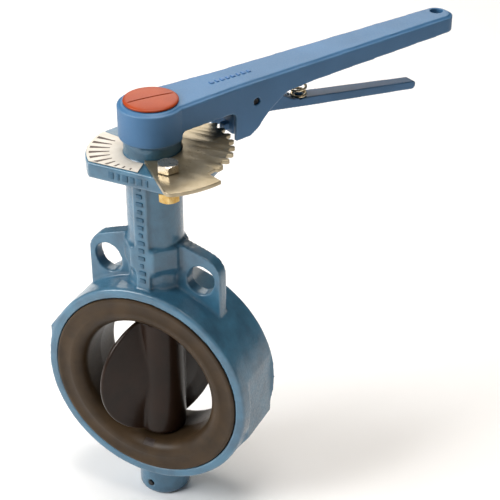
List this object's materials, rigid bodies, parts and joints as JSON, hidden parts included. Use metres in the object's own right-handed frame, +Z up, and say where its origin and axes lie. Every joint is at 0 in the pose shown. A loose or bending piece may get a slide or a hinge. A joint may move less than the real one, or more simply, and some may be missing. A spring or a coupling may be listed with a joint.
{
  "type": "wafer butterfly valve",
  "caption": "Resilient-seated wafer butterfly valve with a rotating disc, turned by a hand lever whose trigger works over a notched plate.",
  "frame": {"origin": "centre of the bore, where the pipe axis crosses the stem axis", "axes": "+Z up the stem towards the lever, +Y along the pipe, +X along the lever when the valve is closed"},
  "size_m": [0.2082, 0.2714, 0.3164],
  "materials": {
    "blue_paint": "semi-gloss blue enamel over rough sand-cast iron",
    "liner_rubber": "moulded rubber, warm black, satin",
    "seal_rubber": "smooth black rubber",
    "disc_coating": "glossy dark brown-black coating",
    "stem_steel": "turned stainless steel",
    "zinc_plate": "bright zinc-plated pressed steel",
    "zinc_bolt": "bright zinc-plated",
    "yellow_zinc": "yellow-passivated zinc on steel",
    "spring_wire": "yellow-passivated drawn spring wire",
    "cap_plastic": "semi-gloss orange-red plastic",
    "printed_label": "cream film with printed brown-black bars",
    "bearing_polymer": "turned acetal"
  },
  "bodies": {
    "housing": {"valve_body": "blue_paint", "seat_liner": "liner_rubber", "neck_bushing_upper": "bearing_polymer", "neck_bushing_lower": "bearing_polymer", "boss_bushing": "bearing_polymer", "stem_seal_upper": "seal_rubber", "stem_seal_lower": "seal_rubber", "boss_lock_pin": "stem_steel", "notch_plate": "zinc_plate", "scale_label": "printed_label", "plate_bolt_front": "zinc_bolt", "plate_bolt_rear": "zinc_bolt", "plate_nut_front": "yellow_zinc", "plate_nut_rear": "yellow_zinc"},
    "rotor": {"disc": "disc_coating", "upper_stem": "stem_steel", "lower_stem": "stem_steel", "lever_handle": "blue_paint", "lever_washer": "stem_steel", "lever_screw": "zinc_bolt", "hub_cap": "cap_plastic", "pivot_pin": "stem_steel", "trigger_spring": "spring_wire"},
    "trigger": {"trigger": "blue_paint"}
  },
  "joints": [
    {"name": "stem_turn", "type": "hinge", "parent": "housing", "child": "rotor", "pos_m": [0, 0, 0], "axis": [0, 0, 1], "range_deg": [-60.5, 29.5]},
    {"name": "trigger_squeeze", "type": "hinge", "parent": "rotor", "child": "trigger", "pos_m": [0.03575, 0.06319, 0.1947], "axis": [0.8704, -0.4924, 0], "range_deg": [0, 10], "stiffness_Nm_per_rad": 4, "springref_deg": -11.46, "deforming": ["trigger_spring"]}
  ]
}
